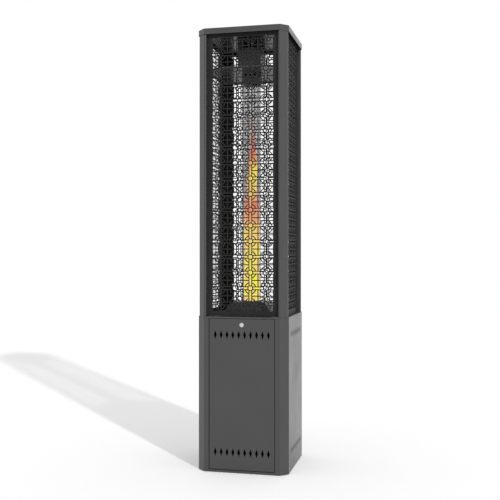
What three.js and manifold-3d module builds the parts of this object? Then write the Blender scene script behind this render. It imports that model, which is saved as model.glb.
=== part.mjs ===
// Tower patio heater: a gas bottle cabinet below, and above it a cage of perforated
// ornamental sheet round a flame in a glass tube.
// Millimetres, +Z up, front towards -Y, origin on the floor under the middle.

import * as THREE from 'three';
import { mergeVertices } from 'three/addons/utils/BufferGeometryUtils.js';
import Module from 'manifold-3d';

const wasm = await Module();
wasm.setup();

// ---- Driving dimensions ----------------------------------------------------

// Tower
const towerWidth = 400; // across the flats of the cabinet and the cap
const towerHeight = 1916;
const cornerLeg = 32.5; // leg of each 45 degree corner
const sheet = 1.5; // folded steel
const fit = 0.3; // gap between two pieces that seat on each other

// Cabinet
const cabinetHeight = 670.5; // top of the deck
const floorGap = 2; // from the floor to the lower edge of the shells
const rimHeight = 6.7; // skirt of the deck
const doorOpening = 292.4;
const jambDepth = 12;
const shellFlange = 12; // fold at the top of a shell, which the deck stands on
const deckHole = 120;
const sillHeight = 11.3;
const sillDepth = 28;
const headerDrop = 22.7; // front leg of the header, from the deck down
const headerDepth = 24;
const headerSetback = 10.5; // from the front of the cabinet to the header
const panTop = 9.5; // the gas bottle stands at this height
const panSetback = 14; // from the front of the cabinet to the pan
const panSlotLength = 90;
const panSlotWidth = 14;
const panSlotSpread = 63; // from the middle to the middle of a slot, along X
const panSlotInset = 90; // from the front and the back of the cabinet to the slots
const footWidth = 32;
const footInset = 55; // from two faces of the cabinet to the middle of a foot

// Diamond vents in the door, the shells and the back
const ventCount = 10;
const ventPitch = 26;
const ventWidth = 13;
const ventHeight = 37;
const lowerVents = 88.5; // height of the middle of the lower row
const upperVentDrop = 77.5; // from the top of the deck to the middle of the upper row

// Door
const doorSheet = 1.2;
const doorInset = 2; // door face behind the face of the cabinet
const doorSideGap = 2.5;
const doorTopGap = 2;
const doorSillGap = 2.5;
const doorReturn = 8; // depth of the folded edges
const tabPlace = 90; // from the middle to each tab
const tabWidth = 30;
const tabShoulder = 5; // each side of a tab, resting on the sill
const tabLength = 10;
const tabSetback = 2; // from the door face to the tab

// Cam lock
const lockDrop = 34; // from the top of the deck to the lock
const lockFace = 19;
const lockThread = 16;
const lockCore = 11;
const lockHead = 2;
const lockLength = 12.3; // from the door face to the end of the barrel
const lockNutWidth = 22;
const lockNutThickness = 3;
const keyWidth = 1.8;
const keyHeight = 6;
const keyDepth = 1.2;
const camReach = 22;
const camWidth = 12;
const camThickness = 2;
const camTail = 8; // diameter of the core's tail, which carries the cam
const camScrewWidth = 11;
const camScrewThickness = 2;

// Cage
const cageInset = 3.9; // posts behind the face of the cabinet
const postCornerGap = 0.5; // between the corner face of a post and the skirt of the cap
const postFlange = 37.1; // corner of the tower's square to the return of a post
const postBend = 4;
const postLip = 12; // inner fold that a panel is fixed to
const panelSetback = 21; // panel face behind the face of the cabinet
const panelEnd = 35; // side edge of a panel from the tower's square
const panelBottomGap = 1.5;
const capHeight = 25; // skirt of the cap
const panelTopGap = 4; // panel's top edge below the cap's lid

// Ornamental lattice in the panels
const latticePitch = 67.4;
const latticeBottom = 20.3; // plain border at the foot of a panel
const latticeTop = 32; // top of the tower to the last opening
const latticeSide = 25; // least plain border at each side
const ringOpening = 48; // eight-sided, in the front panel
const cornerOpening = 54; // diamond where four cells meet, in the front panel
const plainOpening = 50; // square, in the other three panels

// Flue parts, from the top down
const ceilingDrop = 24; // from the top of the tower to the ceiling's underside
const ceilingCorner = 20; // leg of each 45 degree corner of the ceiling
const hoodWidth = 106;
const hoodWindow = 70;
const hoodWindowHeight = 28;
const hoodWindowSill = 12;
const chimneyWidth = 103;
const chimneyDrop = 68; // from the top of the tower to the top of the chimney
const heatPlateDrop = 165; // from the top of the tower to the heat plate
const heatPlateSkirt = 8;
const heatPlateCorner = 66; // leg of each 45 degree corner of the heat plate
const collarOuter = 87;
const collarLength = 47.5; // from the heat plate's underside down
const collarFlange = 8;
const collarSlotCount = 12;
const collarSlotWidth = 10;
const collarSlotHeight = 12;
const collarSlotDrop = 3; // from the heat plate's underside to the slots
const upperGasketHeight = 10;

// Glass and burner
const glassOuter = 80;
const glassWall = 2.5;
const glassTopGap = 13; // from the heat plate's underside to the glass
const gasketWall = 1.8;
const seatRingHeight = 5;
const housingBottom = 242;
const housingTop = 149;
const housingHeight = 55.5; // from the deck to the top of the housing
const burnerWidth = 56;
const burnerHeight = 24;
const burnerDrop = -1.5; // from the top of the housing down to the burner's top
const burnerWall = 2;
const portCount = 8;
const portWidth = 5;
const portRing = 19;
const neckWidth = 26;
const neckHeight = 10;
const mixerOuter = 22;
const mixerWall = 1.5;
const mixerLength = 62;
const mixerCollar = 34;
const airWindowHeight = 10;
const airWindowRise = 14; // from the lower end of the mixing tube
const injectorHex = 18;
const injectorHexHeight = 10;
const injectorBore = 4;
const bracketLength = 150;
const bracketWidth = 40;
const pilotRing = 33; // radius on which the pilot, electrode and thermocouple stand
const electrodeWidth = 5;
const electrodeLength = 34;
const electrodeTip = 8;
const thermocoupleWidth = 3.2;
const thermocoupleLength = 44;
const pilotWidth = 5;
const pilotLength = 36;
const pilotDrop = 10; // how far these reach below the pilot plate

// Gas controls, on a bracket behind the door
const controlSetback = 50; // bracket behind the face of the cabinet
const controlFall = 35.5; // from the top of the deck to the valve and the igniter
const controlSideGap = 54; // from the right face of the cabinet to the bracket
const controlWidth = 94;
const controlDrop = 62;
const controlDepth = 30;
const valveInset = 66; // from the right edge of the bracket to the valve
const valveWidth = 34;
const valveDepth = 38;
const valveHeight = 32;
const valveBoss = 18;
const spindleWidth = 8;
const spindleFlat = 1.2; // depth of the D flat
const spindleSeat = 12; // length inside the valve
const knobWidth = 42;
const knobSkirt = 6;
const knobGrip = 30;
const knobDepth = 20;
const knobRunway = 6; // from the bracket to the knob
const knobTravel = 4;
const knobRib = 7;
const igniterInset = 20; // from the right edge of the bracket to the igniter
const igniterWidth = 18;
const igniterLength = 36;
const igniterFlange = 26;
const igniterFlangeThickness = 2;
const igniterNutThickness = 4;
const buttonWidth = 12;
const buttonProud = 9;
const buttonTravel = 6;
const buttonSeat = 12; // length inside the igniter
const inletWidth = 12;
const inletLength = 14;
const pipeWidth = 8;
const switchWidth = 42;
const switchDepth = 30;
const switchHeight = 26;
const switchGap = 4; // from the end of the burner bracket to the switch

// Facets on a full circle
const largeRound = 24;
const smallRound = 12;
const pipeRound = 8;
const pipeSteps = 14;

// ---- Values that follow from them --------------------------------------------

const half = towerWidth / 2;
const deckUnderside = cabinetHeight - sheet;
const rimBottom = cabinetHeight - rimHeight;
const shellTop = rimBottom - fit;
const upperVents = cabinetHeight - upperVentDrop;
const cornerSaving = 2 - Math.SQRT2; // by which a corner's leg shortens for each mm of inset
const footPlace = half - footInset;
const doorHalf = doorOpening / 2 - doorSideGap;
const doorBottom = sillHeight + doorSillGap;
const doorHeight = rimBottom - doorTopGap - doorBottom;
const doorFace = -half + doorInset;
const lockHeight = cabinetHeight - lockDrop;
const controlHeight = cabinetHeight - controlFall;
const controlRight = half - controlSideGap;
const valvePlace = controlRight - valveInset;
const igniterPlace = controlRight - igniterInset;
const capUnderside = towerHeight - sheet;
const cageFace = half - cageInset;
const capInside = 2 * (half - sheet) - (cornerLeg - sheet * cornerSaving); // X + Y on a corner of its skirt
const postLeg = 2 * cageFace - capInside + postCornerGap * Math.SQRT2;
const panelFace = half - panelSetback;
const panelHalf = half - panelEnd;
const panelBottom = cabinetHeight + panelBottomGap;
const panelTop = capUnderside - panelTopGap;
const ceiling = towerHeight - ceilingDrop;
const chimneyTop = towerHeight - chimneyDrop;
const heatPlateTop = towerHeight - heatPlateDrop;
const heatPlateUnderside = heatPlateTop - sheet;
const collarBottom = heatPlateUnderside - collarLength;
const housingTopHeight = cabinetHeight + housingHeight;
const glassRadius = glassOuter / 2;
const glassTop = heatPlateUnderside - glassTopGap;
const collarInner = collarOuter / 2 - sheet;
const passage = glassRadius - glassWall - 0.5; // radius of the holes under and over the glass
const overcut = 5; // how far a cutting tool runs past the face it opens

// ---- Materials -----------------------------------------------------------------

const finish = (color, roughness, metalness) => (
  new THREE.MeshStandardMaterial({ color, roughness, metalness })
);
const anthracite = finish('#515151', 0.55, 0.2);
const blackPaint = finish('#2f2f2f', 0.7, 0.2);
const darkSteel = finish('#323232', 0.6, 0.4);
const brightSteel = finish('#d2d2d2', 0.3, 0.9);
const zincPlate = finish('#a7a9aa', 0.4, 0.8);
const brass = finish('#b8965a', 0.35, 0.9);
const copper = finish('#b06f4c', 0.35, 0.9);
const ceramic = finish('#e6e0d2', 0.5, 0);
const fibre = finish('#c9c2b2', 0.9, 0);
const blackPlastic = finish('#1d1d1f', 0.5, 0);
const redPlastic = finish('#a02a22', 0.45, 0);
const blackRubber = finish('#1a1a1a', 0.9, 0);
const clearGlass = new THREE.MeshStandardMaterial({
  color: '#eef2f2',
  roughness: 0.05,
  metalness: 0,
  transparent: true,
  opacity: 0.25,
});

// ---- Solids --------------------------------------------------------------------

// Closed solid from a three.js geometry, turned outwards if its faces point in.
function toSolid(geometry) {
  const bare = geometry.clone();
  bare.deleteAttribute('normal');
  bare.deleteAttribute('uv');
  const merged = mergeVertices(bare);
  const position = merged.attributes.position;
  const corners = merged.index.array;
  const faces = [];
  const a = new THREE.Vector3();
  const b = new THREE.Vector3();
  const c = new THREE.Vector3();
  let volume = 0;
  for (let i = 0; i < corners.length; i += 3) {
    const [p, q, r] = [corners[i], corners[i + 1], corners[i + 2]];
    if (p === q || q === r || r === p) continue;
    faces.push([p, q, r]);
    a.fromBufferAttribute(position, p);
    b.fromBufferAttribute(position, q);
    c.fromBufferAttribute(position, r);
    volume += a.dot(b.cross(c));
  }
  const outwards = volume > 0 ? faces : faces.map(([p, q, r]) => [p, r, q]);
  return new wasm.Manifold(new wasm.Mesh({
    numProp: 3,
    vertProperties: Float32Array.from(position.array),
    triVerts: Uint32Array.from(outwards.flat()),
  }));
}

function toGeometry(solid) {
  const { vertProperties, triVerts } = solid.getMesh();
  const geometry = new THREE.BufferGeometry();
  geometry.setAttribute('position', new THREE.BufferAttribute(vertProperties, 3));
  geometry.setIndex(new THREE.BufferAttribute(triVerts, 1));
  geometry.computeVertexNormals();
  return geometry;
}

function cut(body, ...tools) {
  return toGeometry(tools.reduce((solid, tool) => solid.subtract(toSolid(tool)), toSolid(body)));
}

function join(first, ...others) {
  return toGeometry(others.reduce((solid, other) => solid.add(toSolid(other)), toSolid(first)));
}

function block([x0, x1], [y0, y1], [z0, z1]) {
  const box = new THREE.BoxGeometry(x1 - x0, y1 - y0, z1 - z0);
  return box.translate((x0 + x1) / 2, (y0 + y1) / 2, (z0 + z1) / 2);
}

function polygon(points) {
  return new THREE.Shape(points.map(([x, y]) => new THREE.Vector2(x, y)));
}

function extrude(outline, depth) {
  return new THREE.ExtrudeGeometry(outline, { depth, bevelEnabled: false, curveSegments: smallRound / 4 });
}

// Outline in plan, from height z0 to z1.
const upright = (outline, z0, z1) => extrude(outline, z1 - z0).translate(0, 0, z0);

// Outline seen from the front, in X and Z, from y0 to y1.
const frontal = (outline, y0, y1) => extrude(outline, y1 - y0).rotateX(Math.PI / 2).translate(0, y1, 0);

// Outline seen from the side, in Y and Z, from x0 to x1.
const lengthwise = (outline, x0, x1) => (
  extrude(outline, x1 - x0).rotateX(Math.PI / 2).rotateZ(Math.PI / 2).translate(x0, 0, 0)
);

// Turned piece about Z: the profile lists radius and height.
function turned(profile, facets = smallRound) {
  const points = profile.map(([radius, height]) => new THREE.Vector2(radius, height));
  return new THREE.LatheGeometry(points, facets).rotateX(Math.PI / 2);
}

// Ring between two radii and two heights.
function ring(inner, outer, z0, z1, facets = smallRound) {
  const profile = [[inner, z0], [outer, z0], [outer, z1], [inner, z1], [inner, z0]];
  return toGeometry(toSolid(turned(profile, facets)));
}

// Solid rod about Z.
const rod = (radius, z0, z1, facets = smallRound) => (
  turned([[0, z0], [radius, z0], [radius, z1], [0, z1]], facets)
);

// A piece made about Z is laid along Y, its top towards the front.
const facingFront = (geometry) => geometry.rotateX(Math.PI / 2);

// Square with 45 degree corners, `reach` from the axis to each flat, drawn smaller by `inset`.
function octagon(reach, leg, inset = 0) {
  const flat = reach - inset;
  const edge = flat - (leg - inset * cornerSaving);
  return polygon([
    [edge, -flat], [flat, -edge], [flat, edge], [edge, flat],
    [-edge, flat], [-flat, edge], [-flat, -edge], [-edge, -flat],
  ]);
}

const square = (side) => polygon([
  [side / 2, -side / 2], [side / 2, side / 2], [-side / 2, side / 2], [-side / 2, -side / 2],
]);

// Outline of a folded sheet. The path is its outer skin, and the sheet lies to the left of it.
function folded(path, thickness = sheet) {
  const left = path.slice(1).map((point, i) => {
    const along = point.clone().sub(path[i]).normalize();
    return new THREE.Vector2(-along.y, along.x);
  });
  const inner = path.map((point, i) => {
    const before = left[Math.max(i - 1, 0)];
    const after = left[Math.min(i, left.length - 1)];
    const mitre = before.clone().add(after).multiplyScalar(thickness / (1 + before.dot(after)));
    return mitre.add(point);
  });
  return new THREE.Shape([...path, ...inner.reverse()]);
}

const toPath = (points) => points.map(([x, y]) => new THREE.Vector2(x, y));

// Plate with a skirt turned down round its edge.
function lid(reach, leg, bottom, top) {
  return cut(
    upright(octagon(reach, leg), bottom, top),
    upright(octagon(reach, leg, sheet), bottom - overcut, top - sheet),
  );
}

// ---- The group -------------------------------------------------------------------

const tower = new THREE.Group();

function addPiece(name, geometry, material, parent = tower) {
  const piece = new THREE.Mesh(geometry, material);
  piece.name = name;
  parent.add(piece);
  return piece;
}

const quarterTurn = Math.PI / 2;
const corners = ['front_right', 'back_right', 'back_left', 'front_left'];
const sides = ['front', 'right', 'back', 'left'];

// ---- Cabinet ---------------------------------------------------------------------

// Tools for the two rows of diamond vents, `raise` being what to add to their heights.
function ventTools(y0, y1, raise = 0) {
  const tools = [];
  for (const height of [lowerVents, upperVents]) {
    for (let i = 0; i < ventCount; i += 1) {
      const x = (i - (ventCount - 1) / 2) * ventPitch;
      const z = height + raise;
      const diamond = polygon([
        [x, z - ventHeight / 2], [x + ventWidth / 2, z], [x, z + ventHeight / 2], [x - ventWidth / 2, z],
      ]);
      tools.push(frontal(diamond, y0, y1));
    }
  }
  return tools;
}

// One fold of sheet: door jamb, front flange, corner, side, corner, rear flange.
function makeShell() {
  const opening = doorOpening / 2;
  const edge = half - cornerLeg;
  const outside = toPath([
    [opening, -half], [edge, -half], [half, -edge], [half, edge], [edge, half], [opening, half],
  ]);
  const jamb = new THREE.Vector2(opening, -half + jambDepth);
  const vents = ventTools(-half - overcut, -half + sheet + overcut);
  return cut(
    join(
      upright(folded([jamb, ...outside]), floorGap, shellTop),
      upright(folded(outside, shellFlange), shellTop - sheet, shellTop),
    ),
    ...vents.map((vent) => vent.rotateZ(quarterTurn)),
  );
}

function makeDeck() {
  return cut(
    lid(half, cornerLeg, rimBottom, cabinetHeight),
    rod(deckHole / 2, deckUnderside - overcut, cabinetHeight + overcut, largeRound),
  );
}

function makeBack() {
  const reach = half - sheet - fit;
  const width = half - cornerLeg - shellFlange / 2;
  const plate = block([-width, width], [reach - sheet, reach], [panTop + fit, shellTop - sheet - fit]);
  return cut(plate, ...ventTools(reach - sheet - overcut, reach + overcut));
}

function makePan() {
  const frontEdge = -half + panSetback;
  const slotPlace = half - panSlotInset;
  const slots = [-1, 1].flatMap((sideX) => [-1, 1].map((sideY) => block(
    [sideX * panSlotSpread - panSlotLength / 2, sideX * panSlotSpread + panSlotLength / 2],
    [sideY * slotPlace - panSlotWidth / 2, sideY * slotPlace + panSlotWidth / 2],
    [floorGap, panTop + overcut],
  )));
  return cut(
    lid(half - sheet - fit, cornerLeg - sheet * cornerSaving, floorGap, panTop),
    block([-half, half], [-half, frontEdge], [floorGap - overcut, panTop + overcut]),
    ...slots,
  );
}

function makeSill() {
  const width = doorOpening / 2 - fit;
  const section = toPath([[-half + sillDepth, sillHeight], [-half, sillHeight], [-half, floorGap]]);
  const swing = Math.hypot(tabSetback + doorSheet, tabLength);
  const slots = [-1, 1].map((side) => block(
    [side * tabPlace - tabWidth / 2 - fit, side * tabPlace + tabWidth / 2 + fit],
    [doorFace + tabSetback - fit, doorFace + swing + fit],
    [floorGap, sillHeight + overcut],
  ));
  return cut(lengthwise(folded(section), -width, width), ...slots);
}

function makeHeader() {
  const width = doorOpening / 2 - fit;
  const front = -half + headerSetback;
  const top = deckUnderside - fit;
  const section = toPath([[front + headerDepth, top], [front, top], [front, deckUnderside - headerDrop]]);
  return lengthwise(folded(section), -width, width);
}

function makeFoot() {
  const top = panTop - sheet - fit;
  const radius = footWidth / 2;
  return turned([[0, 0], [radius - 2, 0], [radius, 2], [radius, top], [0, top]]);
}

function addCabinet() {
  const cabinet = new THREE.Group();
  const shell = makeShell();
  addPiece('base_side_right', shell, anthracite, cabinet);
  addPiece('base_side_left', toGeometry(toSolid(shell.clone().scale(-1, 1, 1))), anthracite, cabinet);
  addPiece('base_back_panel', makeBack(), anthracite, cabinet);
  addPiece('base_deck', makeDeck(), anthracite, cabinet);
  addPiece('base_floor_pan', makePan(), anthracite, cabinet);
  addPiece('front_sill', makeSill(), anthracite, cabinet);
  addPiece('door_header', makeHeader(), anthracite, cabinet);
  const foot = makeFoot();
  corners.forEach((corner, i) => {
    const turn = i * quarterTurn - quarterTurn / 2;
    const piece = addPiece(`foot_${corner}`, foot, blackRubber, cabinet);
    piece.position.set(Math.cos(turn), Math.sin(turn), 0).multiplyScalar(footPlace * Math.SQRT2);
  });
  tower.add(cabinet);
}

// ---- Door and cam lock -------------------------------------------------------------
// The door's own origin is on its hinge line: the lower edge of its face.

const lockZ = lockHeight - doorBottom;

function makeDoorPanel() {
  const inner = doorHalf - doorSheet;
  const tabs = [-1, 1].map((side) => {
    const x = side * tabPlace;
    const shoulder = tabWidth / 2 + tabShoulder;
    const rest = -doorSillGap + fit;
    const outline = polygon([
      [x - shoulder, doorSheet], [x - shoulder, rest], [x - tabWidth / 2, rest],
      [x - tabWidth / 2, -tabLength], [x + tabWidth / 2, -tabLength], [x + tabWidth / 2, rest],
      [x + shoulder, rest], [x + shoulder, doorSheet],
    ]);
    return frontal(outline, tabSetback, tabSetback + doorSheet);
  });
  const tray = cut(
    block([-doorHalf, doorHalf], [0, doorReturn], [0, doorHeight]),
    block([-inner, inner], [doorSheet, doorReturn + overcut], [doorSheet, doorHeight - doorSheet]),
  );
  const lockHole = facingFront(rod(lockThread / 2 + fit, -overcut, overcut)).translate(0, 0, lockZ);
  return cut(join(tray, ...tabs), ...ventTools(-overcut, doorSheet + overcut, -doorBottom), lockHole);
}

function addDoor() {
  const door = new THREE.Group();
  door.position.set(0, doorFace, doorBottom);
  addPiece('door_panel', makeDoorPanel(), anthracite, door);

  // The lock's pieces are turned about Z, with the face of the door at 0 and the front upwards.
  const lock = new THREE.Group();
  lock.position.set(0, 0, lockZ);
  const bore = lockCore / 2 + fit;
  const thread = lockThread / 2;
  const face = lockFace / 2;
  const barrel = turned([
    [bore, -lockLength], [thread, -lockLength], [thread, fit], [face, fit],
    [face, lockHead - 0.5], [face - 0.5, lockHead], [bore, lockHead], [bore, -lockLength],
  ]);
  addPiece('lock_barrel', facingFront(toGeometry(toSolid(barrel))), brightSteel, lock);

  const nutTop = -doorSheet - fit;
  const nut = cut(
    rod(lockNutWidth / 2, nutTop - lockNutThickness, nutTop, 6),
    rod(thread + fit, nutTop - lockNutThickness - overcut, nutTop + overcut),
  );
  addPiece('lock_nut', facingFront(nut), zincPlate, lock);

  const shoulder = -lockLength - fit;
  const camTop = shoulder - fit;
  const tailEnd = camTop - camThickness - fit;
  const coreFace = lockHead - fit;
  const keySlot = block(
    [-keyWidth / 2, keyWidth / 2], [-keyHeight / 2, keyHeight / 2], [coreFace - keyDepth, coreFace + overcut],
  );
  const core = cut(turned([
    [0, tailEnd], [camTail / 2, tailEnd], [camTail / 2, shoulder], [lockCore / 2, shoulder],
    [lockCore / 2, coreFace], [0, coreFace],
  ]), keySlot);
  addPiece('lock_core', facingFront(core), brightSteel, lock);

  const cam = new THREE.Shape();
  cam.moveTo(0, -camWidth / 2);
  cam.absarc(0, 0, camWidth / 2, -quarterTurn, quarterTurn);
  cam.lineTo(-camReach, camWidth / 2);
  cam.lineTo(-camReach, -camWidth / 2);
  const camPlate = cut(
    upright(cam, camTop - camThickness, camTop),
    rod(camTail / 2 + fit, camTop - camThickness - overcut, camTop + overcut),
  );
  addPiece('lock_cam', facingFront(camPlate), zincPlate, lock);
  const screw = rod(camScrewWidth / 2, tailEnd - fit - camScrewThickness, tailEnd - fit, 6);
  addPiece('lock_cam_screw', facingFront(screw), zincPlate, lock);

  door.add(lock);
  tower.add(door);
}

// ---- Cage ----------------------------------------------------------------------------

// Corner post at the front right: lip, return, flange, corner, flange, return, lip.
function makePost() {
  const seat = panelFace + fit;
  const opening = half - postFlange - cageInset;
  const lipEnd = opening + postLip;
  const path = new THREE.Path();
  path.moveTo(lipEnd, -seat);
  path.lineTo(opening, -seat);
  path.absarc(opening + postBend, -cageFace + postBend, postBend, Math.PI, 1.5 * Math.PI);
  path.lineTo(cageFace - postLeg, -cageFace);
  path.lineTo(cageFace, -cageFace + postLeg);
  path.absarc(cageFace - postBend, -opening - postBend, postBend, 0, quarterTurn);
  path.lineTo(seat, -opening);
  path.lineTo(seat, -lipEnd);
  return upright(folded(path.getPoints(2)), cabinetHeight + fit, capUnderside - fit);
}

// Regular opening about a point: its corners lie `radius` away, the first of them at an angle.
function opening([x, z], radius, count, first) {
  const points = [];
  for (let i = 0; i < count; i += 1) {
    const angle = first + (i * 2 * Math.PI) / count;
    points.push([x + radius * Math.cos(angle), z + radius * Math.sin(angle)]);
  }
  return polygon(points);
}

const plainCell = (centre) => [opening(centre, plainOpening / Math.SQRT2, 4, Math.PI / 4)];

// A ring opening in the middle of each cell, and a diamond where four cells meet.
function ornateCell([x, z], row, column) {
  const ringHole = opening([x, z], ringOpening / 2, 8, Math.PI / 8);
  if (row === 0 || column === 0) return [ringHole];
  return [ringHole, opening([x - latticePitch / 2, z - latticePitch / 2], cornerOpening / 2, 4, 0)];
}

// Flat panel with a pattern of square cells, the last row cut off by the plain border above it.
function makePanel(cell) {
  const columns = Math.floor((2 * (panelHalf - latticeSide)) / latticePitch);
  const left = (-columns * latticePitch) / 2;
  const bottom = panelBottom + latticeBottom;
  const top = towerHeight - latticeTop;
  const back = -panelFace + sheet;
  const holes = [];
  for (let row = 0; bottom + (row + 0.5) * latticePitch < top; row += 1) {
    for (let column = 0; column < columns; column += 1) {
      const centre = [left + (column + 0.5) * latticePitch, bottom + (row + 0.5) * latticePitch];
      holes.push(...cell(centre, row, column).map((hole) => frontal(hole, -half, 0)));
    }
  }
  const border = (z0, z1) => block([-panelHalf, panelHalf], [-panelFace, back], [z0, z1]);
  return join(cut(border(panelBottom, top), ...holes), border(top, panelTop));
}

function addCage() {
  const cage = new THREE.Group();
  const post = makePost();
  corners.forEach((corner, i) => {
    addPiece(`post_${corner}`, post, anthracite, cage).rotation.z = i * quarterTurn;
  });
  const frontPanel = makePanel(ornateCell);
  const otherPanel = makePanel(plainCell);
  sides.forEach((side, i) => {
    const panel = i === 0 ? frontPanel : otherPanel;
    addPiece(`lattice_${side}`, panel, blackPaint, cage).rotation.z = i * quarterTurn;
  });
  addPiece('cap', lid(half, cornerLeg, towerHeight - capHeight, towerHeight), anthracite, cage);
  tower.add(cage);
}

// ---- Flue: heat plate, collar, chimney, hood and ceiling ----------------------------------

const plateReach = panelFace - sheet - fit;

function makeHeatPlate() {
  return cut(
    lid(plateReach, heatPlateCorner, heatPlateTop - heatPlateSkirt, heatPlateTop),
    rod(collarInner, heatPlateTop - overcut, heatPlateTop + overcut, largeRound),
  );
}

function makeCollar() {
  const top = heatPlateUnderside - fit;
  const outer = collarOuter / 2;
  const flange = outer + collarFlange;
  const body = turned([
    [collarInner, collarBottom], [outer, collarBottom], [outer, top - sheet], [flange, top - sheet],
    [flange, top], [collarInner, top], [collarInner, collarBottom],
  ], largeRound);
  const slotTop = heatPlateUnderside - collarSlotDrop;
  const slots = [];
  for (let i = 0; i < collarSlotCount / 2; i += 1) {
    const slot = block(
      [-outer - overcut, outer + overcut],
      [-collarSlotWidth / 2, collarSlotWidth / 2],
      [slotTop - collarSlotHeight, slotTop],
    );
    slots.push(slot.rotateZ((i * 2 * Math.PI) / collarSlotCount));
  }
  return cut(body, ...slots);
}

function makeChimney() {
  return cut(
    upright(square(chimneyWidth), heatPlateTop + fit, chimneyTop),
    upright(square(chimneyWidth - 2 * sheet), heatPlateTop - overcut, chimneyTop + overcut),
  );
}

// Hood between the chimney and the ceiling, with a window in each side for the hot gas.
function makeHood() {
  const bottom = chimneyTop + fit;
  const top = ceiling - fit;
  const windowBottom = bottom + hoodWindowSill;
  const windows = [0, 1].map((turn) => block(
    [-hoodWindow / 2, hoodWindow / 2], [-half, half], [windowBottom, windowBottom + hoodWindowHeight],
  ).rotateZ(turn * quarterTurn));
  return cut(
    upright(square(hoodWidth), bottom, top),
    upright(square(hoodWidth - 4 * sheet), bottom - overcut, top - sheet),
    ...windows,
  );
}

function addFlue() {
  const flue = new THREE.Group();
  addPiece('heat_plate', makeHeatPlate(), anthracite, flue);
  addPiece('upper_collar', makeCollar(), darkSteel, flue);
  addPiece('chimney_box', makeChimney(), anthracite, flue);
  addPiece('chimney_hood', makeHood(), anthracite, flue);
  const ceilingPlate = upright(octagon(plateReach, ceilingCorner), ceiling, ceiling + sheet);
  addPiece('cage_ceiling', ceilingPlate, anthracite, flue);
  tower.add(flue);
}

// ---- Glass tube and burner -----------------------------------------------------------------

function makeHousing() {
  const bottom = cabinetHeight + fit;
  const height = housingTopHeight - bottom;
  const slope = (housingBottom - housingTop) / 2 / height;
  const frustum = (lower, upper, z0, z1) => (
    new THREE.CylinderGeometry(upper / Math.SQRT2, lower / Math.SQRT2, z1 - z0, 4)
      .rotateX(quarterTurn).rotateZ(quarterTurn / 2).translate(0, 0, (z0 + z1) / 2)
  );
  const wall = 2 * sheet * Math.hypot(1, slope);
  const innerTop = housingTopHeight - sheet;
  const innerBottom = bottom - overcut;
  const widthAt = (z) => housingBottom - wall - 2 * slope * (z - bottom);
  return cut(
    frustum(housingBottom, housingTop, bottom, housingTopHeight),
    frustum(widthAt(innerBottom), widthAt(innerTop), innerBottom, innerTop),
    rod(passage, innerTop - overcut, housingTopHeight + overcut, largeRound),
  );
}

// Seat ring on the housing, a gasket in it, and the glass in the gasket.
const seatFloor = housingTopHeight + fit + sheet;
const gasketFloor = seatFloor + fit + gasketWall;
const glassBottom = gasketFloor + fit;
const gasketOuter = glassRadius + fit + gasketWall;

function cupRing(inner, floorOuter, wallInner, z0, floorTop, wallTop) {
  return toGeometry(toSolid(turned([
    [inner, z0], [floorOuter, z0], [floorOuter, wallTop], [wallInner, wallTop],
    [wallInner, floorTop], [inner, floorTop], [inner, z0],
  ], largeRound)));
}

function makeBurnerHead() {
  const top = housingTopHeight - burnerDrop;
  const bottom = top - burnerHeight;
  const outer = burnerWidth / 2;
  const neck = neckWidth / 2;
  const bore = mixerOuter / 2 + fit;
  const body = turned([
    [bore, bottom - neckHeight], [neck, bottom - neckHeight], [neck, bottom], [outer, bottom],
    [outer, top - 1], [outer - 1, top], [0, top], [0, top - burnerWall],
    [outer - burnerWall, top - burnerWall], [outer - burnerWall, bottom + burnerWall],
    [bore, bottom + burnerWall], [bore, bottom - neckHeight],
  ]);
  const ports = [];
  for (let i = 0; i < portCount; i += 1) {
    const angle = ((i + 0.5) * 2 * Math.PI) / portCount;
    const port = rod(portWidth / 2, top - burnerWall - overcut, top + overcut, 6);
    ports.push(port.translate(portRing * Math.cos(angle), portRing * Math.sin(angle), 0));
  }
  return cut(body, ...ports);
}

const burnerBottom = housingTopHeight - burnerDrop - burnerHeight;
const mixerTop = burnerBottom;
const mixerBottom = mixerTop - mixerLength;
const bracketTop = deckUnderside - fit;

// Mixing tube hung by its collar on the burner bracket, with an air window in each of two sides.
function makeMixingTube() {
  const outer = mixerOuter / 2;
  const inner = outer - mixerWall;
  const collarBottomZ = bracketTop + fit;
  const tube = turned([
    [inner, mixerBottom], [outer, mixerBottom], [outer, collarBottomZ], [mixerCollar / 2, collarBottomZ],
    [mixerCollar / 2, collarBottomZ + sheet], [outer, collarBottomZ + sheet], [outer, mixerTop],
    [inner, mixerTop], [inner, mixerBottom],
  ]);
  const windowBottom = mixerBottom + airWindowRise;
  const windowTop = windowBottom + airWindowHeight;
  const airWindow = block([-outer, outer], [-inner / 2, inner / 2], [windowBottom, windowTop]);
  return cut(tube, airWindow);
}

function makeInjector() {
  const stem = mixerOuter / 2 - mixerWall - fit;
  const top = mixerBottom + airWindowRise - 2;
  const hexTop = mixerBottom - fit;
  const hexBottom = hexTop - injectorHexHeight;
  return cut(
    join(rod(injectorHex / 2, hexBottom, hexTop, 6), rod(stem, hexTop - 1, top)),
    rod(injectorBore / 2, hexBottom - overcut, top + overcut, 6),
  );
}

function makeBurnerBracket() {
  const x = bracketLength / 2;
  const y = bracketWidth / 2;
  return cut(
    block([-x, x], [-y, y], [bracketTop - sheet, bracketTop]),
    rod(mixerOuter / 2 + fit, bracketTop - sheet - overcut, bracketTop + overcut),
  );
}

// The three pieces that stand beside the burner, on a plate round its neck.
const attendants = [
  { name: 'spark_electrode', angle: 0, radius: electrodeWidth / 2 },
  { name: 'thermocouple', angle: (2 * Math.PI) / 3, radius: thermocoupleWidth / 2 },
  { name: 'pilot_tube', angle: (4 * Math.PI) / 3, radius: pilotWidth / 2 },
];

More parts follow.
